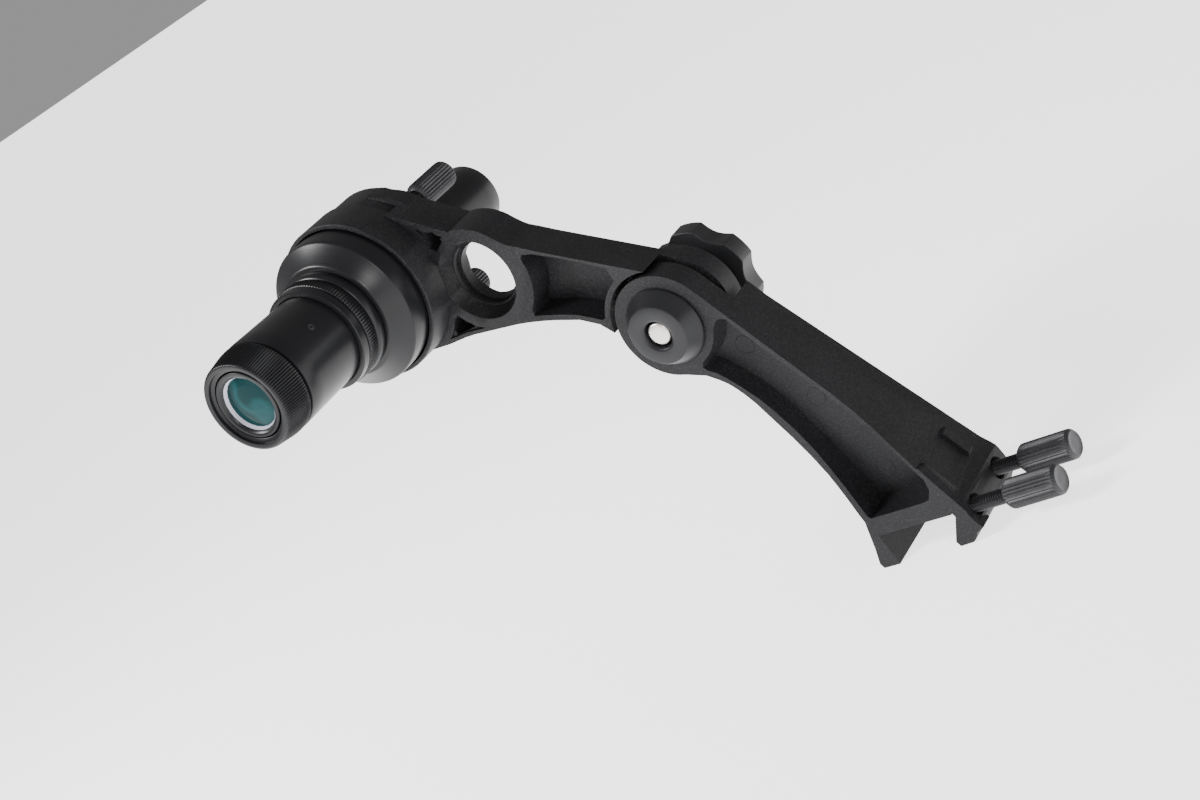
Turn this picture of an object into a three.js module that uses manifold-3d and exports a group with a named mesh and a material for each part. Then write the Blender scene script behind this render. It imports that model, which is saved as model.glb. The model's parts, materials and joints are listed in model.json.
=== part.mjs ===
// Polar-axis sighting scope on a folding two-piece die-cast arm with a dovetail clamp.
// Millimetres. The design frame has its origin on the hinge axis at the near face of the clamp arm:
// +X along the clamp screws, +Y along the hinge and optical axes away from the eye, +Z up.
// The exported group moves that frame so that the centre of the dovetail seat is at 0, 0, 0.
import * as THREE from 'three';
import { mergeVertices } from 'three/addons/utils/BufferGeometryUtils.js';
import Module from 'manifold-3d';

const wasm = await Module();
wasm.setup();

// ---- driving dimensions ----
const GAP = 0.3;                               // clearance between neighbouring pieces
const SEAT = new THREE.Vector3(42, 9.5, -84);  // centre of the dovetail seat
const MID_Y = 9.5;                             // middle plane of the folding arm
const KNUCKLE_R = 17;                          // hinge disc of the clamp arm
const KNUCKLE_THICK = 8.6;
const TONGUE = { near: 11.1, far: 18.6, radius: 17.5 };
const RELIEF_R = 18.6;                         // arm halves are cut back on this radius about the hinge
const SHOULDER_R = 20.4;                       // far-side shoulder of the clamp arm
const HINGE_BOLT_R = 3.75;
const HINGE_HOLE_R = 4.1;
// Distance from the hinge and Y of the clamp arm's side faces.
const NEAR_FACE = [[50, 0], [58, -0.5], [65, -1.4], [72, -2.8], [80, -4.3], [88, -5.3], [100, -6.3], [140, -8.6]];
const FAR_FACE = [[17, 19], [140, 28.6]];
const POCKET_FLOOR = 6.2;                      // near pocket floor of the clamp arm; the far one mirrors it
const POCKET_DRAFT = 1.5;
const SCOPE = { x: -89.9, z: 50.2 };           // optical axis
const BOSS = { x: -52.6, z: 37.3, r: 17.8 };   // through-bored boss of the ring arm
const ARM_FAR = 14;                            // far face of the ring arm
const WEB_FLOOR = 9.2;                         // floor of the ring arm's web pocket
const SPANDREL_DEPTH = 0.9;                    // shallow recess between the boss and the ring
const RING = { r: 27.4, bore: 26.1, front: -11, step: 2.5, rearR: 26.7, back: 16, wall: 8, opening: 15 };
const SCREW = { headR: 4.6, headLength: 18.5, studR: 2.35, holeR: 2.7 };
const CLAMP_Y = [-0.1, 19.1];
const CLAMP_Z = -86.1;
const CLAMP_HEAD_X = [70.4, 68.3];             // the near clamp screw stands a little further out
const CLAMP_REACH = 13.4;                      // from a clamp screw's head to its tip
const TILT_R = 22;                             // pitch radius of the tilt screws about the optical axis
const TILT_ANGLES = [42, -84, 160];
const TILT_HEAD_Y = 20.6;
const TILT_TIP_Y = 5.6;
const KNOB = { near: 25.4, far: 32.4, r: 17.8, lobes: 6, phase: 17, hubR: 9.5 };

// ---- geometry helpers ----
const degrees = (angle) => angle * Math.PI / 180;
const polar = (cx, cz, r, angle) =>
  new THREE.Vector2(cx + r * Math.cos(degrees(angle)), cz + r * Math.sin(degrees(angle)));
const vectors = (pairs) => pairs.map(([x, z]) => new THREE.Vector2(x, z));
const spline = (pairs, count) => new THREE.SplineCurve(vectors(pairs)).getPoints(count);

function arc(cx, cz, r, from, to, step = 6) {
  const count = Math.max(2, Math.ceil(Math.abs(to - from) / step));
  return Array.from({ length: count + 1 }, (_, i) => polar(cx, cz, r, from + (to - from) * i / count));
}

// Closed geometry to solid: merged corners, no empty triangles, faces out.
function solid(geometry) {
  geometry.deleteAttribute('normal');
  geometry.deleteAttribute('uv');
  const merged = mergeVertices(geometry, 1e-4);
  const points = merged.attributes.position.array;
  const index = merged.index.array;
  const corner = (i) => new THREE.Vector3().fromArray(points, 3 * i);
  const triangles = [];
  let volume = 0;
  for (let i = 0; i < index.length; i += 3) {
    const [a, b, c] = [index[i], index[i + 1], index[i + 2]];
    if (a === b || b === c || c === a) continue;
    triangles.push(a, b, c);
    volume += corner(a).dot(corner(b).cross(corner(c)));
  }
  if (volume < 0) {
    triangles.reverse();
  }
  const mesh = new wasm.Mesh({
    numProp: 3,
    vertProperties: Float32Array.from(points),
    triVerts: Uint32Array.from(triangles),
  });
  return new wasm.Manifold(mesh);
}

// Outline in X and Z, extruded along Y between two planes.
function plateY(outline, low, high) {
  const shape = new THREE.Shape(outline);
  const geometry = new THREE.ExtrudeGeometry(shape, { depth: high - low, bevelEnabled: false });
  return solid(geometry.rotateX(Math.PI / 2).translate(0, high, 0));
}

// Pocket cutter open towards -Y whose walls lean in by `draft` from the rim to the floor.
function draftedPocket(outline, rim, floor, draft) {
  const above = 8;
  const geometry = new THREE.ExtrudeGeometry(new THREE.Shape(outline), {
    depth: above, bevelThickness: floor - rim, bevelSize: draft, bevelOffset: -draft, bevelSegments: 1,
  });
  return solid(geometry.rotateX(Math.PI / 2).translate(0, rim, 0));
}

// Profile of [radius, y] pairs, turned about an axis along Y.
function turned(profile, cx = 0, cz = 0, segments = 40) {
  const points = profile.map(([r, y]) => new THREE.Vector2(r, y));
  return solid(new THREE.LatheGeometry(points, segments).translate(cx, 0, cz));
}

// Ring or disc with an optional bore.
function ringY(outer, inner, low, high, cx = 0, cz = 0, segments = 40) {
  const profile = inner > 0
    ? [[inner, low], [outer, low], [outer, high], [inner, high], [inner, low]]
    : [[0, low], [outer, low], [outer, high], [0, high]];
  return turned(profile, cx, cz, segments);
}

// Profile of [radius, x] pairs, turned about an axis along X.
function turnedX(profile, cy, cz, segments = 24) {
  const points = profile.map(([r, x]) => new THREE.Vector2(r, x));
  const geometry = new THREE.LatheGeometry(points, segments);
  return solid(geometry.rotateZ(-Math.PI / 2).translate(0, cy, cz));
}

const model = new THREE.Group();
const design = new THREE.Group();
design.position.copy(SEAT).negate();
model.add(design);

function material(color, roughness, metalness) {
  return () => new THREE.MeshStandardMaterial({ color, roughness, metalness });
}
const castPaint = material('#4a4b4e', 0.55, 0.2);
const anodised = material('#2e2f31', 0.4, 0.6);
const screwBlack = material('#47484b', 0.45, 0.6);
const plainSteel = material('#b9b6ae', 0.3, 1);
const rubber = material('#161617', 0.8, 0);
const coatedGlass = material('#4b8f92', 0.05, 0);

function add(name, piece, makeMaterial) {
  const { vertProperties, triVerts, numProp } = piece.getMesh();
  const points = new Float32Array(3 * vertProperties.length / numProp);
  for (let i = 0; i < points.length / 3; i += 1) {
    points.set(vertProperties.subarray(numProp * i, numProp * i + 3), 3 * i);
  }
  const geometry = new THREE.BufferGeometry();
  geometry.setAttribute('position', new THREE.BufferAttribute(points, 3));
  geometry.setIndex(new THREE.BufferAttribute(Uint32Array.from(triVerts), 1));
  geometry.computeVertexNormals();
  const mesh = new THREE.Mesh(geometry, makeMaterial());
  mesh.name = name;
  design.add(mesh);
}

// ---- clamp arm: hinge knuckle, flared pocketed beam, dovetail saddle ----
const TOP_ANGLE = 26;                          // direction of the flat top's normal
const BEAM = new THREE.Vector2(0.38, -0.925).normalize();
const SEAT_RELIEF = 0.5;                       // depth of the grooves at the roots of the jaws

function clampArmOutline() {
  return [
    ...arc(0, 0, KNUCKLE_R, TOP_ANGLE, 256, 5),
    ...spline([
      [2.4, -19.2], [6.5, -22.9], [9.2, -26.6], [12.3, -33.3], [17.2, -48.9], [22.4, -65.4], [25.4, -78.8],
    ], 18),
    ...vectors([[23.9, -87.5], [22.5, -92.8], [23.2, -94.5], [29.2, -94.5], [27.5, -84.4]]),
    ...vectors([[27.5, -84 + SEAT_RELIEF], [28.2, -84 + SEAT_RELIEF], [28.2, -84]]),
    ...vectors([[54.5, -84], [54.5, -84 + SEAT_RELIEF], [56.2, -84 + SEAT_RELIEF]]),
    ...vectors([[51, -92.6], [51.8, -94.3], [56.6, -94.1]]),
    ...spline([[57.6, -93.5], [59.2, -91.4], [59.8, -88.5], [59.6, -84], [59.2, -81.6]], 6),
    ...vectors([[58.2, -79.9], [56.4, -77.3], [54.8, -74.1], [53.3, -70.9]]),
  ];
}

// Everything between the two side faces, which spread apart along the beam past the knuckle.
function flareSpace() {
  const plan = [[-60, NEAR_FACE[0][1]], ...NEAR_FACE, ...[...FAR_FACE].reverse(), [-60, FAR_FACE[0][1]]];
  const width = 140;
  const shape = new THREE.Shape(vectors(plan));
  const geometry = new THREE.ExtrudeGeometry(shape, { depth: width, bevelEnabled: false });
  geometry.translate(0, 0, -width / 2);
  const along = new THREE.Vector3(BEAM.x, 0, BEAM.y);
  const across = new THREE.Vector3(0, 1, 0);
  geometry.applyMatrix4(new THREE.Matrix4().makeBasis(along, across, along.clone().cross(across)));
  return solid(geometry);
}

function clampArmPocket() {
  return [
    ...vectors([[16.9, -4.4], [18.6, -4.3], [20.2, -5.2], [20.9, -7.1], [24.9, -15.8], [29.1, -24.1]]),
    ...vectors([[32.8, -31.7], [37.2, -41], [42.2, -51.2], [46.4, -59.2], [50.2, -67], [52.2, -71.5]]),
    ...vectors([[52, -74.8], [50.2, -77.6], [47.8, -78], [28.2, -78.2]]),
    ...spline([
      [27.4, -77.3], [25.6, -69], [23.3, -60.7], [20.5, -49.9], [14.9, -33.4], [7.6, -21.3], [4, -18],
    ], 16),
    ...vectors([[3, -16.4], [4.1, -14.9], [6.8, -13.7], [9.4, -12.2], [12.2, -9.6], [14.5, -6.2]]),
  ];
}

// Point on the flat top at a distance along it, raised by a height.
const [TOP_COS, TOP_SIN] = [Math.cos(degrees(TOP_ANGLE)), Math.sin(degrees(TOP_ANGLE))];
function onTop(along, height) {
  const r = KNUCKLE_R + height;
  return [r * TOP_COS + along * TOP_SIN, r * TOP_SIN - along * TOP_COS];
}

// Section of [y, height over the flat top] pairs, extruded along the flat top.
function alongTop(section, from, to) {
  const shape = new THREE.Shape(vectors(section));
  const geometry = new THREE.ExtrudeGeometry(shape, { depth: to - from, bevelEnabled: false });
  geometry.translate(0, KNUCKLE_R, from);
  const [across, normal] = [new THREE.Vector3(0, 1, 0), new THREE.Vector3(TOP_COS, 0, TOP_SIN)];
  geometry.applyMatrix4(new THREE.Matrix4().makeBasis(across, normal, across.clone().cross(normal)));
  return solid(geometry);
}

function makeClampArm() {
  const sides = flareSpace();
  const nearPocket = draftedPocket(clampArmPocket(), 0, POCKET_FLOOR, POCKET_DRAFT);
  const farPocket = nearPocket.mirror([0, 1, 0]).translate([0, 2 * MID_Y, 0])
    .subtract(ringY(SHOULDER_R + 4, 0, KNUCKLE_THICK, 60));
  const nearRib = [onTop(83.4, -2), onTop(83.4, 0), onTop(84.6, 1), onTop(95, 0.5), onTop(106, -1.2),
    [62, -90.5], [58, -92], [52, -76]];
  const farRib = [onTop(83.4, -2), onTop(83.4, 0.2), onTop(84.2, 1), onTop(93.6, 1), onTop(94.4, 0)];
  let arm = plateY(clampArmOutline(), -12, 32);
  arm = arm.add(plateY(vectors(nearRib), -12, -1.2));
  arm = arm.intersect(sides).add(plateY(vectors(farRib), 14.2, 17.5));
  arm = arm.subtract(alongTop([[-12, -2], [-1.2, 1.3], [-1.2, 5], [-12, 5]], 83.4, 120));
  arm = arm.subtract(nearPocket).subtract(farPocket);
  arm = arm.subtract(ringY(SHOULDER_R, 0, KNUCKLE_THICK, 40, 0, 0, 48));
  arm = arm.subtract(ringY(HINGE_HOLE_R, 0, -5, 20, 0, 0, 40));
  for (const y of CLAMP_Y) {
    arm = arm.subtract(turnedX([
      [0, 53.3], [SCREW.holeR, 53.3], [SCREW.holeR, 57.5], [3.7, 60], [3.7, 66], [0, 66],
    ], y, CLAMP_Z));
  }
  return arm;
}
add('clamp_arm', makeClampArm(), castPaint);

// ---- hinge: cap, bolt, washers, lobed knob ----
add('hinge_cap', turned([
  [4.6, -5.8], [9.4, -5.8], [9.9, -5.4], [12.7, -1], [12.9, -GAP], [4.2, -GAP], [4.2, -2], [4.6, -2],
  [4.6, -5.8],
], 0, 0, 48), anodised);
add('hinge_bolt', turned([
  [0, -4.9], [3.25, -4.9], [HINGE_BOLT_R, -4.4], [HINGE_BOLT_R, 29.5], [0, 29.5],
], 0, 0, 40), plainSteel);
add('hinge_washer', ringY(11, HINGE_HOLE_R, KNUCKLE_THICK + GAP, TONGUE.near - GAP, 0, 0, 48), rubber);
add('knob_washer', ringY(8.5, HINGE_HOLE_R, TONGUE.far + GAP, TONGUE.far + 1.5, 0, 0, 48), plainSteel);

function knobOutline() {
  const pitch = 360 / KNOB.lobes;
  const points = [];
  for (let i = 0; i < KNOB.lobes; i += 1) {
    const middle = KNOB.phase + i * pitch;
    points.push(...arc(0, 0, KNOB.r, middle - 12.5, middle + 12.5, 6.25));
    for (const [offset, inset] of [[20, 1.5], [26, 2.1], [30, 2.2], [34, 2.1], [40, 1.5]]) {
      points.push(polar(0, 0, KNOB.r - inset, middle + offset));
    }
  }
  return points;
}
function makeKnob() {
  const grip = plateY(knobOutline(), KNOB.near, KNOB.far);
  const hub = ringY(KNOB.hubR, 0, TONGUE.far + 1.5 + GAP, KNOB.near + 1);
  const top = KNOB.far;
  const crown = turned([[0, top - 1], [15, top - 1], [15, top], [11.5, top + 1.4], [0, top + 1.8]]);
  return grip.add(hub).add(crown).subtract(ringY(HINGE_BOLT_R + GAP, 0, 0, 29.5 + GAP, 0, 0, 40));
}
add('hinge_knob', makeKnob(), screwBlack);

// ---- ring arm: tongue, I-section web, bored boss, ring ----
function ringArmOutline() {
  return [
    ...arc(0, 0, TONGUE.radius, 170, 57, 5),
    ...vectors([[-26, 37.6]]),
    ...spline([[-31.5, 41.4], [-35, 43.8], [-38.4, 47.9]], 5),
    ...arc(BOSS.x, BOSS.z, BOSS.r, 39, 84, 6),
    ...vectors([[-51.3, 54.9], [-65.1, 65.8], [-69, 68.5]]),
    ...vectors([[-86, 62], [-92, 40], [-90, 23.4]]),
    ...spline([[-78.3, 22.3], [-68.8, 22.1], [-60.4, 20.9], [-48.1, 19], [-37, 16.1], [-26.7, 12.4]], 12),
    ...vectors([[-21.1, 8.6]]),
  ];
}
function webPocket() {
  return [
    ...spline([[-31.8, 38.6], [-26, 36.4], [-14, 28.8], [-7, 23.8]], 4),
    ...arc(0, 0, 20.4, 110, 152, 6),
    ...spline([[-19.4, 9.6], [-26.9, 14.4], [-35.5, 17.6], [-41.2, 19.4]], 6),
    ...arc(BOSS.x, BOSS.z, 19.8, -52, 0, 6),
  ];
}

// Shallow recesses and the deeper core pockets between the boss and the ring.
function spandrelCutters() {
  const keep = ringY(BOSS.r - 0.6, 0, -5, 30, BOSS.x, BOSS.z, 40)
    .add(ringY(29.6, 0, -5, 30, SCOPE.x, SCOPE.z, 48));
  const recesses = [
    [[-66.6, 64.2], [-53.6, 53.8], [-46, 46], [-58, 44]],
    [[-80, 23.8], [-69, 23.5], [-60.4, 22.3], [-48.4, 20.4], [-50, 28], [-70, 33]],
  ];
  const cores = [
    [[-60.4, 58.2], [-56.6, 57], [-55.4, 53.2], [-59.9, 51], [-61.4, 52.8]],
    [[-69.6, 29.4], [-67.2, 28.3], [-65.2, 23.9], [-73.6, 23.9], [-73.6, 25.4]],
  ];
  const shallow = recesses.map((points) => plateY(vectors(points), -1, SPANDREL_DEPTH).subtract(keep));
  return [...shallow, ...cores.map((points) => plateY(vectors(points), -1, 7))];
}

// Shoulder on the ring round the top tilt screw.
function ringLug() {
  return [
    ...vectors([[-84, 70], [-82.5, 72.7], [-80, 74.4], [-77.6, 74.8], [-75.5, 74], [-73.5, 72.5]]),
    ...vectors([[-70.7, 71], [-67.7, 69], [-65.8, 66.4], [-66, 58], [-75, 66]]),
  ];
}

function makeRingArm() {
  let arm = plateY(ringArmOutline(), 0, ARM_FAR);
  arm = arm.subtract(ringY(RELIEF_R, 0, -1, TONGUE.near, 0, 0, 48));
  arm = arm.add(ringY(TONGUE.radius, 0, TONGUE.near, TONGUE.far, 0, 0, 48));
  arm = arm.subtract(ringY(HINGE_HOLE_R, 0, 0, 30, 0, 0, 40));
  arm = arm.subtract(draftedPocket(webPocket(), 0, WEB_FLOOR, 0.7));
  for (const cutter of spandrelCutters()) {
    arm = arm.subtract(cutter);
  }
  const ring = turned([
    [RING.opening, RING.wall], [RING.bore, RING.wall], [RING.bore, RING.front], [RING.r - 0.4, RING.front],
    [RING.r, RING.front + 0.4], [RING.r, RING.step], [RING.rearR, RING.step + 0.8], [RING.rearR, RING.back - 0.6],
    [RING.rearR - 0.6, RING.back], [RING.opening, RING.back], [RING.opening, RING.wall],
  ], SCOPE.x, SCOPE.z, 64);
  const cup = ringY(RING.bore, 0, -20, RING.wall, SCOPE.x, SCOPE.z, 64);
  arm = arm.subtract(cup).subtract(ringY(RING.opening, 0, -20, 40, SCOPE.x, SCOPE.z, 64)).add(ring);
  arm = arm.add(plateY(ringLug(), 7.5, ARM_FAR).subtract(cup));
  arm = arm.subtract(turned([
    [0, -1], [13.9, -1], [13.7, 0], [11.5, 4.8], [11, 4.8], [11, 7.5], [9.9, 7.5], [9.9, 10.5], [12.4, 10.5],
    [12.6, 30], [0, 30],
  ], BOSS.x, BOSS.z, 48));
  for (const angle of TILT_ANGLES) {
    const at = polar(SCOPE.x, SCOPE.z, TILT_R, angle);
    arm = arm.subtract(ringY(SCREW.holeR, 0, 4, 30, at.x, at.y, 24));
  }
  return arm;
}
add('ring_arm', makeRingArm(), castPaint);

// ---- knurled thumbscrews: a stud and a pressed-on head ----
const headProfile = (start) => [
  [0, 1], [SCREW.studR, 1], [3.6, 0], [SCREW.headR, 1.7], [SCREW.headR, SCREW.headLength - 0.9],
  [SCREW.headR - 0.9, SCREW.headLength], [0, SCREW.headLength],
].map(([r, along]) => [r, start + along]);

['near', 'far'].forEach((side, i) => {
  const [y, head, tip] = [CLAMP_Y[i], CLAMP_HEAD_X[i], CLAMP_HEAD_X[i] - CLAMP_REACH];
  const stud = [
    [0, tip], [SCREW.studR - 0.5, tip], [SCREW.studR, tip + 0.6],
    [SCREW.studR, head + 1 - GAP], [0, head + 1 - GAP],
  ];
  add(`clamp_stud_${side}`, turnedX(stud, y, CLAMP_Z, 20), screwBlack);
  add(`clamp_head_${side}`, turnedX(headProfile(head), y, CLAMP_Z, 20), screwBlack);
});
['top', 'bottom', 'side'].forEach((place, i) => {
  const at = polar(SCOPE.x, SCOPE.z, TILT_R, TILT_ANGLES[i]);
  const stud = [
    [0, TILT_TIP_Y], [SCREW.studR - 0.5, TILT_TIP_Y], [SCREW.studR, TILT_TIP_Y + 0.6],
    [SCREW.studR, TILT_HEAD_Y + 1 - GAP], [0, TILT_HEAD_Y + 1 - GAP],
  ];
  add(`tilt_stud_${place}`, turned(stud, at.x, at.y, 24), screwBlack);
  add(`tilt_head_${place}`, turned(headProfile(TILT_HEAD_Y), at.x, at.y, 24), screwBlack);
});

// ---- scope: pieces turned about the optical axis, from the eye to the sky ----
function scopePart(name, profile, makeMaterial, segments = 32) {
  add(name, turned(profile, SCOPE.x, SCOPE.z, segments), makeMaterial);
}
function lens(name, r, centreY, edge, nearBulge, farBulge, makeMaterial) {
  const steps = 3;
  const cap = (y, bulge) => Array.from({ length: steps }, (_, i) => {
    const t = i / steps;
    return [r * t, y + bulge * (1 - t * t)];
  });
  const near = cap(centreY - edge / 2, -nearBulge);
  const far = cap(centreY + edge / 2, farBulge).reverse();
  scopePart(name, [...near, [r, centreY - edge / 2], [r, centreY + edge / 2], ...far], makeMaterial, 24);
}

scopePart('eyepiece_ring', [
  [11.6, -70.2], [12.8, -72.6], [12.8, -73], [14.2, -73.4], [14.7, -72.9], [14.8, -69.6], [15.6, -67.4],
  [16, -66.8], [16.1, -62.1], [14.4, -62.1], [14.4, -64.4], [11.6, -64.4], [11.6, -70.2],
], anodised);
scopePart('eyepiece_cell', [
  [9.2, -71.2], [10, -72.2], [11.2, -72.2], [11.3, -64.1], [13.2, -64.1], [13.2, -44], [12, -44],
  [12, -62], [9.2, -62], [9.2, -67.6], [8, -67.6], [8, -68.4], [9.2, -68.4], [9.2, -71.2],
], anodised);
lens('eyepiece_lens', 8.6, -69.5, 1.2, 0.6, 0.2, coatedGlass);
scopePart('eyepiece_retainer', [
  [8.2, -67.2], [8.9, -67.2], [8.9, -63.5], [7.2, -63.5], [7.2, -65.5], [8.2, -67.2],
], anodised, 24);
lens('field_lens', 11.6, -54, 1.6, 0.8, 0.8, coatedGlass);
scopePart('scope_tube', [
  [13.6, -61.2], [14.2, -61.7], [15.7, -61.7], [16.1, -61.3], [15.6, -35.6], [15.6, -20.6], [13.6, -20.6],
  [13.6, -61.2],
], anodised);
scopePart('reticle_cell', [
  [9.5, -30], [13.3, -30], [13.3, -24.6], [12.2, -24.6], [12.2, -28.4], [9.5, -28.4], [9.5, -30],
], anodised);
scopePart('reticle', [[0, -28.1], [11.9, -28.1], [11.9, -26.6], [0, -26.6]], coatedGlass, 24);
scopePart('date_ring', [
  [15.9, -35.3], [17.2, -35.3], [17.5, -35], [17.6, -32.2], [15.9, -32.2], [15.9, -35.3],
], anodised);
scopePart('index_ring', [
  [15.9, -31.9], [17.7, -31.9], [18.1, -31.5], [17.9, -28], [17.5, -27.7], [15.9, -27.7], [15.9, -31.9],
], anodised);
scopePart('stop_ring', [
  [15.9, -27.4], [17.3, -27.4], [18, -26.8], [18.2, -24], [17.2, -23.6], [15.9, -23.6], [15.9, -27.4],
], anodised);
scopePart('adapter_flange', [
  [15.9, -23.2], [19.6, -23.2], [20, -22.3], [25.2, -18.9], [25.6, -18.3], [25.6, -12], [25.3, -11.6],
  [25.3, 2.6], [12.3, 2.6], [12.3, -2], [15.9, -2], [15.9, -23.2],
], anodised, 64);
scopePart('spring_ring', [
  [23.2, 3], [25.4, 3], [25.4, 4.4], [23.2, 4.4], [23.2, 3],
], rubber, 32);
scopePart('objective_tube', [
  [9.4, -1.6], [12, -1.6], [12, 3.4], [11.1, 3.4], [11.3, 55.6], [11.3, 60.8], [10.9, 61.2], [10.5, 61.2],
  [10.5, 54.6], [9.4, 54.6], [9.4, -1.6],
], anodised);
lens('objective_lens', 10.2, 56.6, 2.4, 0.6, 0.6, coatedGlass);
scopePart('objective_retainer', [
  [9, 58.6], [10.2, 58.6], [10.2, 60.6], [9, 60.6], [9, 58.6],
], anodised, 24);

model.updateMatrixWorld(true);
export default model;
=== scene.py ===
"""Looks for the polar alignment scope on its folding arm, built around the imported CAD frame."""
import json
import math

import bmesh
import bpy
from mathutils import Matrix, Vector


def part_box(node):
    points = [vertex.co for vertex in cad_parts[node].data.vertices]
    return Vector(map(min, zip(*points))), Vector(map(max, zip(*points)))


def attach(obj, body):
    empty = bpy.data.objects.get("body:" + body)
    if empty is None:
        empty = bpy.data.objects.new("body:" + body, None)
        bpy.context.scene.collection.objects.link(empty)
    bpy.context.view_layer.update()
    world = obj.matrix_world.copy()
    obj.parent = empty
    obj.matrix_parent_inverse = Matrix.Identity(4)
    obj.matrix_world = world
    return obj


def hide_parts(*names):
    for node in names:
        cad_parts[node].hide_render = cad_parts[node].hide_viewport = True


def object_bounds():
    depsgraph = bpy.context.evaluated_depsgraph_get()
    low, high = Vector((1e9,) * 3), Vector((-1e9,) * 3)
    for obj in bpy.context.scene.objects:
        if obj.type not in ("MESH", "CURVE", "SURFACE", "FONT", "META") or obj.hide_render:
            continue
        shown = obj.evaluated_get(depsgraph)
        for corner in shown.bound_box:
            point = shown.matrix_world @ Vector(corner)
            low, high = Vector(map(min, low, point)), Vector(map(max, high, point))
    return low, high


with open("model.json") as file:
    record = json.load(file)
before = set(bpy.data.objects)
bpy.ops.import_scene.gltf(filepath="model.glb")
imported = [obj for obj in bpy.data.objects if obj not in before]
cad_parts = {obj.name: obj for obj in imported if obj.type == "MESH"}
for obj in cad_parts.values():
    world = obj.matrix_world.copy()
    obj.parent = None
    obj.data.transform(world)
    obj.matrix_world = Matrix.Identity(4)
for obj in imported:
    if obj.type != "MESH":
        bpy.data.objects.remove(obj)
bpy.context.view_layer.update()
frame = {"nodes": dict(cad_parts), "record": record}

MM = 0.001
AXIS_X, AXIS_Y = 0, 1


# ---- camera ----
CAMERA_RIGHT = Vector((0.70403, 0.45121, -0.54841))
CAMERA_UP = Vector((0.28216, 0.53093, 0.79906))
CAMERA_BACK = Vector((0.65171, -0.7173, 0.24648))
CAMERA_PLACE = Vector((0.358687, -0.492942, 0.236322))
LENS_MM = 65.21


def make_camera():
    data = bpy.data.cameras.new("camera")
    data.lens = LENS_MM
    data.sensor_width = 36
    data.clip_start = 0.01
    data.clip_end = 1000
    camera = bpy.data.objects.new("camera", data)
    turn = Matrix((CAMERA_RIGHT, CAMERA_UP, CAMERA_BACK)).transposed().to_4x4()
    camera.matrix_world = Matrix.Translation(CAMERA_PLACE) @ turn
    bpy.context.scene.collection.objects.link(camera)
    bpy.context.scene.camera = camera


# ---- materials ----
class Shader:
    """A principled material with a few helpers for wiring procedural detail into it."""

    def __init__(self, name, roughness, metallic=0.0, specular=0.5):
        self.material = bpy.data.materials.new(name)
        self.material.use_nodes = True
        self.tree = self.material.node_tree
        self.bsdf = self.tree.nodes["Principled BSDF"]
        self.bsdf.inputs["Roughness"].default_value = roughness
        self.bsdf.inputs["Metallic"].default_value = metallic
        self.bsdf.inputs["Specular IOR Level"].default_value = specular
        self.coords = self.tree.nodes.new("ShaderNodeTexCoord").outputs["Object"]

    def noise(self, scale, detail=2.0, roughness=0.5, stretch=None):
        source = self.coords
        if stretch:
            mapping = self.tree.nodes.new("ShaderNodeMapping")
            mapping.inputs["Scale"].default_value = stretch
            self.tree.links.new(source, mapping.inputs["Vector"])
            source = mapping.outputs["Vector"]
        node = self.tree.nodes.new("ShaderNodeTexNoise")
        node.inputs["Scale"].default_value = scale
        node.inputs["Detail"].default_value = detail
        node.inputs["Roughness"].default_value = roughness
        self.tree.links.new(source, node.inputs["Vector"])
        return node.outputs["Fac"]

    def ramp(self, value, stops):
        node = self.tree.nodes.new("ShaderNodeValToRGB")
        ramp = node.color_ramp
        while len(ramp.elements) < len(stops):
            ramp.elements.new(0.5)
        for element, (place, colour) in zip(ramp.elements, stops):
            element.position = place
            element.color = (*colour, 1)
        self.tree.links.new(value, node.inputs["Fac"])
        return node.outputs["Color"]

    def mix(self, factor, first, second, mode="MIX"):
        node = self.tree.nodes.new("ShaderNodeMix")
        node.data_type = "RGBA"
        node.blend_type = mode
        for socket, value in ((node.inputs[0], factor), (node.inputs[6], first), (node.inputs[7], second)):
            if hasattr(value, "is_output"):
                self.tree.links.new(value, socket)
            else:
                socket.default_value = value
        return node.outputs[2]

    def colour(self, value):
        self.tree.links.new(value, self.bsdf.inputs["Base Color"])

    def roughness(self, value, low, high):
        node = self.tree.nodes.new("ShaderNodeMapRange")
        node.inputs["To Min"].default_value = low
        node.inputs["To Max"].default_value = high
        self.tree.links.new(value, node.inputs["Value"])
        self.tree.links.new(node.outputs["Result"], self.bsdf.inputs["Roughness"])

    def bump(self, value, depth, strength=1.0):
        node = self.tree.nodes.new("ShaderNodeBump")
        node.inputs["Distance"].default_value = depth
        node.inputs["Strength"].default_value = strength
        self.tree.links.new(value, node.inputs["Height"])
        previous = self.bsdf.inputs["Normal"].links
        if previous:
            self.tree.links.new(previous[0].from_socket, node.inputs["Normal"])
        self.tree.links.new(node.outputs["Normal"], self.bsdf.inputs["Normal"])


def grey(value, tint=1.04):
    return (value, value, value * tint)


def cast_paint():
    """Fine textured black paint: a grainy surface with small lighter specks and faint blotches."""
    shader = Shader("cast_paint", 0.5, specular=0.2)
    grain = shader.noise(2600, 2.0)
    specks = shader.noise(1500, 3.0, 0.7)
    blotches = shader.noise(45, 3.0)
    base = shader.ramp(blotches, [(0.3, grey(0.009, 1.12)), (0.7, grey(0.013, 1.12))])
    fine = shader.ramp(specks, [(0.48, grey(0.0)), (0.78, grey(0.022))])
    shader.colour(shader.mix(1.0, base, fine, "ADD"))
    shader.roughness(specks, 0.38, 0.62)
    shader.bump(grain, 0.00010, 0.55)
    shader.bump(shader.noise(700, 2.0), 0.00012, 0.3)
    return shader.material


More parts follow.
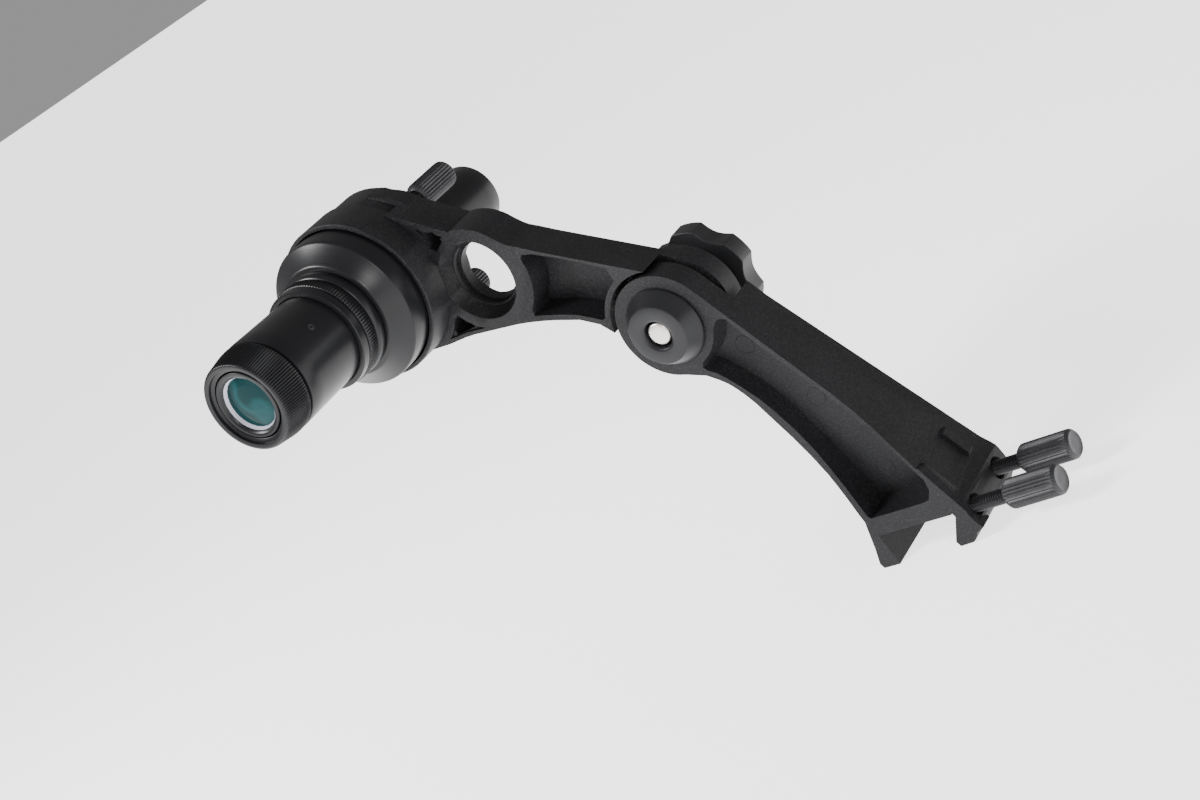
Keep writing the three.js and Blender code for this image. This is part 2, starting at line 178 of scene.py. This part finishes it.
def anodised(name="anodised", value=0.009, roughness=(0.24, 0.38), turned=True):
    """Satin black anodised aluminium with fine turning marks round the Y axis."""
    shader = Shader(name, roughness[0], specular=0.26)
    blotches = shader.noise(60, 3.0)
    shader.colour(shader.ramp(blotches, [(0.3, grey(value * 0.9, 1.15)), (0.7, grey(value * 1.15, 1.15))]))
    if turned:
        lines = shader.noise(120, 4.0, 0.7, stretch=(0.15, 60, 0.15))
        shader.roughness(lines, *roughness)
        shader.bump(lines, 0.00002, 0.35)
    else:
        fine = shader.noise(1800, 3.0)
        shader.roughness(fine, *roughness)
        shader.bump(fine, 0.00003, 0.4)
    return shader.material


def screw_metal():
    """Charcoal anodised screw heads, bead-blasted and a little lighter than the scope."""
    shader = Shader("screw_metal", 0.4, metallic=0.3, specular=0.35)
    cloud = shader.noise(300, 4.0, 0.7)
    shader.colour(shader.ramp(cloud, [(0.3, grey(0.030, 1.08)), (0.7, grey(0.046, 1.08))]))
    shader.roughness(shader.noise(2500, 2.0), 0.34, 0.5)
    shader.bump(shader.noise(3500, 2.0), 0.00002, 0.4)
    return shader.material


def knob_plastic():
    shader = Shader("knob_plastic", 0.42, specular=0.4)
    cloud = shader.noise(80, 3.0)
    shader.colour(shader.ramp(cloud, [(0.3, grey(0.014, 1.1)), (0.7, grey(0.019, 1.1))]))
    fine = shader.noise(2200, 3.0)
    shader.roughness(fine, 0.35, 0.5)
    shader.bump(fine, 0.00003, 0.35)
    return shader.material


def steel():
    """Turned steel, warm and bright, with fine tool marks."""
    shader = Shader("steel", 0.3, metallic=0.9)
    cloud = shader.noise(350, 4.0, 0.7)
    shader.colour(shader.ramp(cloud, [(0.3, (0.68, 0.65, 0.60)), (0.7, (0.80, 0.78, 0.73))]))
    shader.roughness(shader.noise(900, 3.0), 0.28, 0.45)
    shader.bump(shader.noise(1500, 3.0), 0.00002, 0.4)
    return shader.material


def rubber():
    shader = Shader("rubber", 0.75)
    fine = shader.noise(1500, 3.0)
    shader.colour(shader.ramp(fine, [(0.3, grey(0.004)), (0.7, grey(0.008))]))
    shader.bump(fine, 0.00004, 0.5)
    return shader.material


def coated_glass(name, colour):
    """Lens with a green-blue coating over a dark barrel."""
    shader = Shader(name, 0.12, specular=0.1)
    cloud = shader.noise(70, 1.0)
    dark = tuple(0.5 * c for c in colour)
    shader.colour(shader.ramp(cloud, [(0.42, dark), (0.5, colour), (0.58, dark)]))
    return shader.material


PAINT = cast_paint()
BLACK = anodised()
CAP_BLACK = anodised("cap_anodised", 0.014, (0.26, 0.36))
SCREW = screw_metal()
STUD = anodised("stud_black", 0.012, (0.25, 0.4), turned=False)
KNOB = knob_plastic()
STEEL = steel()
RUBBER = rubber()
LENS = coated_glass("lens_teal", (0.006, 0.050, 0.054))
# painted highlight: a light grey colour for the bevel round the eye lens, standing in for the glint that
# edge catches
PAINTED_HIGHLIGHT = anodised("painted_highlight_bevel", 0.55, (0.3, 0.45))


# ---- mesh helpers ----
SHARP_ANGLE = 35


def cover(mesh, material, sharp=SHARP_ANGLE):
    """Give a mesh its only material, and shade it smooth except over sharp edges."""
    mesh.materials.clear()
    mesh.materials.append(material)
    mesh.polygons.foreach_set("use_smooth", [True] * len(mesh.polygons))
    mesh.set_sharp_from_angle(angle=math.radians(sharp))


def new_object(name, mesh, material, sharp=SHARP_ANGLE):
    cover(mesh, material, sharp)
    piece = bpy.data.objects.new(name, mesh)
    bpy.context.scene.collection.objects.link(piece)
    return piece


def finish_piece(piece, node):
    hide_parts(node)
    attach(piece, BODIES[node])


BODIES = {n: b for b, nodes in frame["record"]["behaviour"]["bodies"].items() for n in nodes}


EDGE_ROUNDING = 0.6 * MM
BEVEL_FROM = 24                   # edges sharper than this, in degrees, are rounded
FLAT_WITHIN = 1.2                 # faces that lie this nearly flat, in degrees, are merged
WELD = 1e-6


def softened(node, material):
    """Copy of a CAD node with its flat faces merged and its edges rounded."""
    mesh = frame["nodes"][node].data.copy()
    mesh.name = node + "_soft"
    bm = bmesh.new()
    bm.from_mesh(mesh)
    bmesh.ops.remove_doubles(bm, verts=bm.verts, dist=WELD)
    bmesh.ops.dissolve_limit(bm, angle_limit=math.radians(FLAT_WITHIN), verts=bm.verts, edges=bm.edges)
    bm.to_mesh(mesh)
    bm.free()
    piece = new_object(node + "_piece", mesh, material)
    bevel = piece.modifiers.new("round", "BEVEL")
    bevel.width = EDGE_ROUNDING
    bevel.segments = 2
    bevel.limit_method = "ANGLE"
    bevel.angle_limit = math.radians(BEVEL_FROM)
    bevel.harden_normals = True
    bpy.context.view_layer.objects.active = piece
    bpy.ops.object.select_all(action="DESELECT")
    piece.select_set(True)
    bpy.ops.object.modifier_apply(modifier=bevel.name)
    finish_piece(piece, node)


def revolved(name, rows, segments, axis, origin, material, ribs=0, closed=False, sharp=SHARP_ANGLE):
    """Turned surface. A row is (radius, along, rib depth) in mm; ribs cut that deep into the surface."""
    bm = bmesh.new()
    rings = []
    for radius, along, depth in rows:
        if radius <= 1e-6:
            rings.append([bm.verts.new(place(axis, origin, 0, 0, along))])
            continue
        ring = []
        for i in range(segments):
            turn = math.tau * i / segments
            groove = 0.5 + 0.5 * math.cos(ribs * turn)
            r = radius - depth * groove
            ring.append(bm.verts.new(place(axis, origin, r, turn, along)))
        rings.append(ring)
    pairs = list(zip(rings, rings[1:]))
    if closed:
        pairs.append((rings[-1], rings[0]))
    for first, second in pairs:
        bridge(bm, first, second, segments)
    bmesh.ops.recalc_face_normals(bm, faces=bm.faces)
    mesh = bpy.data.meshes.new(name)
    bm.to_mesh(mesh)
    bm.free()
    return new_object(name, mesh, material, sharp)


def place(axis, origin, radius, turn, along):
    u, v = radius * math.cos(turn) * MM, radius * math.sin(turn) * MM
    w = along * MM
    if axis == AXIS_Y:
        return origin + Vector((u, w, v))
    return origin + Vector((w, u, v))


def bridge(bm, first, second, segments):
    for i in range(segments):
        j = (i + 1) % segments
        if len(first) == 1 and len(second) == 1:
            return
        if len(first) == 1:
            bm.faces.new((first[0], second[j], second[i]))
        elif len(second) == 1:
            bm.faces.new((first[i], first[j], second[0]))
        else:
            bm.faces.new((first[i], first[j], second[j], second[i]))


def axis_start(node, axis):
    """Point on a turned node's axis at its lowest end."""
    low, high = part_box(node)
    middle = (low + high) / 2
    if axis == AXIS_Y:
        return Vector((middle.x, low.y, middle.z))
    return Vector((low.x, middle.y, middle.z))


def turned_piece(
    node, rows, material, segments=160, ribs=0, axis=AXIS_Y, closed=True, sharp=SHARP_ANGLE,
):
    rows = [row if len(row) == 3 else (*row, 0) for row in rows]
    origin = axis_start(node, axis)
    piece = revolved(node + "_piece", rows, segments, axis, origin, material, ribs, closed, sharp=sharp)
    finish_piece(piece, node)


# ---- thumbscrews ----
HEAD_R, HEAD_LENGTH, STUD_R, PITCH = 4.6, 18.5, 2.35, 0.8
FLUTES, FLUTE_DEPTH = 26, 0.42
STEPS_PER_RIB, RIB_SHARP = 6, 50
STUD_SEGMENTS, STEPS_PER_THREAD, THREAD_DEPTH = 28, 7, 0.38


def screw_head(node, axis):
    depth = FLUTE_DEPTH
    rows = [(0, 1.1, 0), (2.5, 1.1, 0), (2.6, 0.3, 0), (2.9, 0.0, 0), (3.2, 0.1, 0)]
    rows += [(4.1, 1.0, depth * 0.3), (4.5, 1.5, depth), (HEAD_R, 1.9, depth)]
    end = HEAD_LENGTH
    rows += [(HEAD_R, 1.9 + i * 2.2, depth) for i in range(1, 7)]
    rows += [(HEAD_R, end - 1.5, depth), (HEAD_R - 0.05, end - 1.1, depth * 0.6)]
    rows += [(HEAD_R - 0.1, end - 0.85, 0), (3.75, end, 0), (3.6, end, 0), (3.45, end - 0.1, 0)]
    rows += [(1.6, end - 0.15, 0), (0, end - 0.1, 0)]
    turned_piece(node, rows, SCREW, FLUTES * STEPS_PER_RIB, FLUTES, axis, closed=False, sharp=RIB_SHARP)


def stud(node, axis, length):
    """Threaded stud: a ridge wound round it, with plain bevelled ends."""
    segments = STUD_SEGMENTS
    origin = axis_start(node, axis)
    bm = bmesh.new()
    rings = [[bm.verts.new(place(axis, origin, 0, 0, 0))]]
    count = int(length / PITCH * STEPS_PER_THREAD)
    for k in range(count + 1):
        along = length * k / count
        taper = min(1, (along + 0.4) / 0.9)
        ring = []
        for i in range(segments):
            turn = math.tau * i / segments
            wave = abs(((along / PITCH - i / segments) % 1) * 2 - 1)
            r = (STUD_R - THREAD_DEPTH * (1 - min(1, wave * 1.15))) * (0.86 + 0.14 * taper)
            ring.append(bm.verts.new(place(axis, origin, r, turn, along)))
        rings.append(ring)
    rings.append([bm.verts.new(place(axis, origin, 0, 0, length))])
    for first, second in zip(rings, rings[1:]):
        bridge(bm, first, second, segments)
    bmesh.ops.recalc_face_normals(bm, faces=bm.faces)
    mesh = bpy.data.meshes.new(node + "_piece")
    bm.to_mesh(mesh)
    bm.free()
    piece = new_object(node + "_piece", mesh, STUD, 60)
    finish_piece(piece, node)


def make_screws():
    for side in ("near", "far"):
        screw_head("clamp_head_" + side, AXIS_X)
        low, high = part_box("clamp_stud_" + side)
        stud("clamp_stud_" + side, AXIS_X, (high.x - low.x) / MM)
    for place_name in ("top", "bottom", "side"):
        screw_head("tilt_head_" + place_name, AXIS_Y)
        low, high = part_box("tilt_stud_" + place_name)
        stud("tilt_stud_" + place_name, AXIS_Y, (high.y - low.y) / MM)


# ---- hinge ----
def make_hinge():
    turned_piece("hinge_cap", [
        (4.5, 0.9), (4.7, 0.35), (5.25, 0.05), (5.5, 0), (9.2, 0), (9.65, 0.12), (9.95, 0.5), (12.5, 4.6),
        (12.85, 5.0), (12.9, 5.3), (12.8, 5.5), (4.3, 5.5), (4.3, 3.8), (4.5, 3.6),
    ], CAP_BLACK, 128)
    low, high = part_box("hinge_bolt")
    length = (high.y - low.y) / MM
    turned_piece("hinge_bolt", [
        (0, 0.05), (0.5, 0.02), (3.0, 0), (3.35, 0.12), (3.7, 0.5), (3.75, 0.8), (3.75, length), (0, length),
    ], STEEL, 64, closed=False)
    softened("hinge_knob", KNOB)


# ---- scope ----
# Set screws: distance from the optical axis, distance along it and turn about it.
TUBE_SCREW_R, TUBE_SCREW_ALONG, TUBE_SCREW_TURN = 15.75, 15.5, math.radians(26.8)
FLANGE_SCREW_R, FLANGE_SCREW_ALONG, FLANGE_SCREW_TURN = 23.2, 13.8, math.radians(83.8)
EJECTOR_Y = -3.3                  # floor of the clamp arm's near pocket
EJECTOR_MARKS = [(-25.9, 67.2), (-14.5, 43.9), (-7.2, 15.5)]


KNURL_RIBS = 115
EYEPIECE_KNURL, INDEX_KNURL = 0.34, 0.32


def make_scope():
    knurl = EYEPIECE_KNURL
    notch = INDEX_KNURL
    turned_piece("eyepiece_ring", [
        (11.6, 3.2), (11.65, 1.5), (12.1, 1.25), (12.8, 1.1), (12.95, 0.2), (14.0, 0.0), (14.5, 0.05),
        (14.75, 0.3, 0.1), (14.95, 0.6, knurl), (15.1, 1.6, knurl), (15.4, 3.6, knurl), (15.75, 5.6, knurl),
        (16.0, 7.4, knurl), (16.1, 9.2, knurl), (16.05, 10.4, knurl), (15.9, 10.8, 0.1), (15.4, 11.0),
        (14.9, 11.3), (14.4, 11.3), (14.4, 9.0), (11.6, 9.0),
    ], BLACK, KNURL_RIBS * STEPS_PER_RIB, KNURL_RIBS, sharp=RIB_SHARP)
    turned_piece("eyepiece_cell", [
        (9.2, 0.9), (9.7, 0.2), (10.2, 0.0), (11.0, 0.0), (11.2, 0.2), (11.3, 8.1), (13.2, 8.1),
        (13.2, 28.2), (12.0, 28.2), (12.0, 10.2), (9.2, 10.2), (9.2, 4.6), (8.0, 4.6), (8.0, 3.8),
        (9.2, 3.8),
    ], BLACK, 96)
    turned_piece("scope_tube", [
        (13.6, 0.5), (14.1, 0.0), (15.6, 0.0), (15.95, 0.12), (16.1, 0.4), (15.98, 6.5), (15.85, 13.0),
        (15.72, 19.5), (15.6, 26.1), (15.6, 41.1), (13.6, 41.1),
    ], BLACK, 160)
    turned_piece("date_ring", [
        (15.9, 0.0), (16.9, 0.0), (17.3, 0.1), (17.5, 0.35), (17.6, 2.8), (17.4, 3.0), (17.0, 3.1),
        (15.9, 3.1),
    ], BLACK, 160)
    turned_piece("index_ring", [
        (15.9, 0.0), (17.3, 0.0), (17.7, 0.15, 0.1), (18.05, 0.45, notch), (18.05, 2.0, notch),
        (17.95, 3.6, notch), (17.7, 3.95, 0.1), (17.2, 4.2), (15.9, 4.2),
    ], BLACK, KNURL_RIBS * STEPS_PER_RIB, KNURL_RIBS, sharp=RIB_SHARP)
    turned_piece("stop_ring", [
        (15.9, 0.0), (17.2, 0.0), (17.6, 0.2), (18.0, 0.6), (18.2, 1.6), (18.2, 3.0), (18.0, 3.4),
        (17.2, 3.8), (15.9, 3.8),
    ], BLACK, 160)
    turned_piece("adapter_flange", [
        (15.9, 0.0), (19.2, 0.0), (19.7, 0.25), (20.0, 0.75), (25.1, 4.25), (25.45, 4.55), (25.6, 5.0),
        (25.6, 11.2), (25.3, 11.6), (25.3, 25.8), (12.3, 25.8), (12.3, 21.2), (15.9, 21.2),
    ], BLACK, 192)
    turned_piece("objective_tube", [
        (9.4, 0.0), (11.9, 0.0), (12.0, 0.1), (12.0, 5.0), (11.1, 5.0), (11.2, 30), (11.3, 57.2),
        (11.3, 62.3), (11.15, 62.65), (10.9, 62.8), (10.6, 62.8), (10.5, 62.6), (10.5, 56.2), (9.4, 56.2),
    ], BLACK, 128)


def extra(piece, body):
    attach(piece, body)


def make_scope_details():
    """The bevel round the eye lens, painted light grey as a painted highlight, and two set screws. The
    tube's shows as a faint ring;
    the flange's lies under the surface of the flange, which hides it."""
    low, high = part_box("eyepiece_cell")
    start = Vector(((low.x + high.x) / 2, low.y, (low.z + high.z) / 2))
    # ring round the eye lens painted light grey as a painted highlight on its bevel
    edge = revolved("lens_edge_painted_highlight", [
        (9.15, 1.0, 0), (9.05, 0.9, 0), (8.5, 2.3, 0), (8.62, 2.6, 0), (9.1, 2.6, 0),
    ], 96, AXIS_Y, start, PAINTED_HIGHLIGHT, closed=True)
    extra(edge, "eyepiece_cell")
    tube_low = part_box("scope_tube")[0]
    flange_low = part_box("adapter_flange")[0]
    for name, radius, along, turn in (
        ("tube_set_screw", TUBE_SCREW_R, tube_low.y / MM + TUBE_SCREW_ALONG, TUBE_SCREW_TURN),
        ("flange_set_screw", FLANGE_SCREW_R, flange_low.y / MM + FLANGE_SCREW_ALONG, FLANGE_SCREW_TURN),
    ):
        out = Vector((math.cos(turn), 0, math.sin(turn)))
        centre = Vector((start.x, along * MM, start.z)) + out * radius * MM
        screw = revolved(name, [
            (0, 0.35, 0), (0.45, 0.3, 0), (0.5, -0.05, 0), (0.95, -0.15, 0), (1.1, 0.05, 0), (1.1, 0.8, 0),
        ], 32, AXIS_Y, Vector((0, 0, 0)), SCREW)
        turned_out = Vector((0, -1, 0)).rotation_difference(out).to_matrix().to_4x4()
        screw.data.transform(Matrix.Translation(centre) @ turned_out)
        extra(screw, "scope")


def make_ejector_marks():
    """Round marks that the ejector pins left on the pocket floor of the clamp arm."""
    for i, (x, z) in enumerate(EJECTOR_MARKS):
        centre = Vector((x, EJECTOR_Y, z)) * MM
        mark = revolved(f"ejector_mark_{i}", [
            (2.75, 0.05, 0), (2.85, -0.09, 0), (3.0, -0.12, 0), (3.15, -0.09, 0), (3.25, 0.05, 0),
        ], 48, AXIS_Y, centre, PAINT)
        extra(mark, "clamp_arm")


def make_castings():
    softened("clamp_arm", PAINT)
    softened("ring_arm", PAINT)


WORLD_STRENGTH = 0.32
FLOOR_GLOW = 2.0
FLOOR_HALF = 400.0
FLOOR_GAP = 0.02 * MM
LIGHT_TARGET = Vector((-0.03, 0.0, 0.08))
LIGHTS = (
    ("key", (-0.55, -0.45, 0.62), 0.25, 9),
    ("front", (0.42, -0.70, 0.42), 0.2, 2.5),
)


def make_lights():
    world = bpy.data.worlds.new("studio")
    world.use_nodes = True
    world.node_tree.nodes["Background"].inputs["Color"].default_value = (1, 1, 1, 1)
    world.node_tree.nodes["Background"].inputs["Strength"].default_value = WORLD_STRENGTH
    bpy.context.scene.world = world
    for name, where, size, power in LIGHTS:
        data = bpy.data.lights.new(name, "AREA")
        data.size = size
        data.energy = power
        light = bpy.data.objects.new(name, data)
        light.location = where
        light.rotation_euler = (LIGHT_TARGET - light.location).to_track_quat("-Z", "Y").to_euler()
        bpy.context.scene.collection.objects.link(light)


def make_floor():
    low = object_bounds()[0]
    half = FLOOR_HALF
    mesh = bpy.data.meshes.new("floor")
    height = low[2] - FLOOR_GAP
    corners = [(-half, -half, height), (half, -half, height), (half, half, height), (-half, half, height)]
    mesh.from_pydata(corners, [], [(0, 1, 2, 3)])
    shader = Shader("floor", 0.9)
    shader.bsdf.inputs["Base Color"].default_value = (0.95, 0.95, 0.95, 1)
    shader.bsdf.inputs["Emission Color"].default_value = (1, 1, 1, 1)
    shader.bsdf.inputs["Emission Strength"].default_value = FLOOR_GLOW
    mesh.materials.append(shader.material)
    floor = bpy.data.objects.new("floor", mesh)
    bpy.context.scene.collection.objects.link(floor)


make_camera()
make_castings()
make_hinge()
make_screws()
make_scope()
make_scope_details()
make_ejector_marks()
for lens_node in ("eyepiece_lens", "field_lens", "reticle", "objective_lens"):
    cover(frame["nodes"][lens_node].data, LENS)
for black_node in ("eyepiece_retainer", "reticle_cell", "objective_retainer"):
    cover(frame["nodes"][black_node].data, BLACK)
for rubber_node in ("hinge_washer", "spring_ring"):
    cover(frame["nodes"][rubber_node].data, RUBBER)
cover(frame["nodes"]["knob_washer"].data, STEEL)
make_floor()
make_lights()
